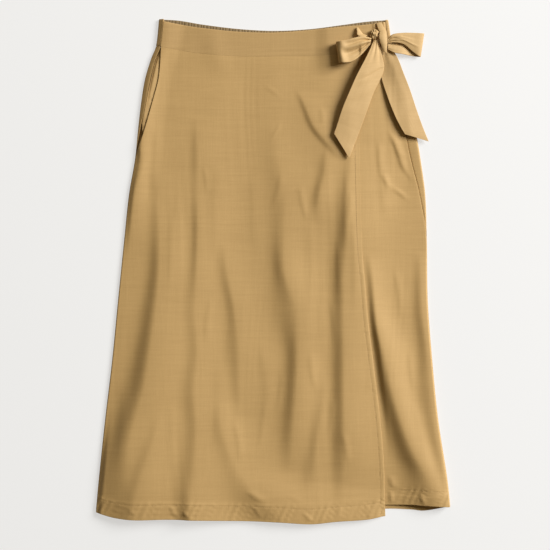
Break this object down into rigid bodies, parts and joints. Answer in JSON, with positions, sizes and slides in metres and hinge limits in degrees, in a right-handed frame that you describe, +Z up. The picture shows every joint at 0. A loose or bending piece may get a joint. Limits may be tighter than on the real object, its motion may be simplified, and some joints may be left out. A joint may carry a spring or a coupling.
{
  "type": "wrap skirt",
  "caption": "Midi wrap-front skirt of tan linen blend, laid flat: flat front waistband, gathered back band, side pockets, overlap panel and a tied side bow.",
  "frame": {"origin": "middle of the laid skirt's outline, on the surface it lies on", "axes": "+X to the side with the bow, +Y from hem to waist, +Z up, off the surface and towards the viewer"},
  "size_m": [0.6016, 0.8574, 0.0225],
  "materials": {
    "panel_cloth": "matt linen blend, plain weave with fine slubs both ways, tan",
    "band_cloth": "the same linen blend, doubled and pressed flat, with an edge seam",
    "gathered_band": "the same linen blend gathered over elastic in fine upright ribs",
    "pocket_cloth": "the same linen blend, lightly creased",
    "tie_cloth": "the same linen blend, doubled, soft and creased where it is knotted"
  },
  "bodies": {
    "root": {"back_panel": "panel_cloth", "front_underlay": "panel_cloth", "front_overlap": "panel_cloth", "left_pocket": "pocket_cloth", "right_pocket": "pocket_cloth", "back_waistband": "gathered_band", "side_waistband": "band_cloth", "front_waistband": "band_cloth", "right_tail": "tie_cloth", "left_tail": "tie_cloth", "left_loop": "tie_cloth", "right_loop": "tie_cloth", "tie_ear": "tie_cloth", "tie_root": "tie_cloth", "knot_band": "tie_cloth", "knot": "tie_cloth"}
  },
  "joints": []
}
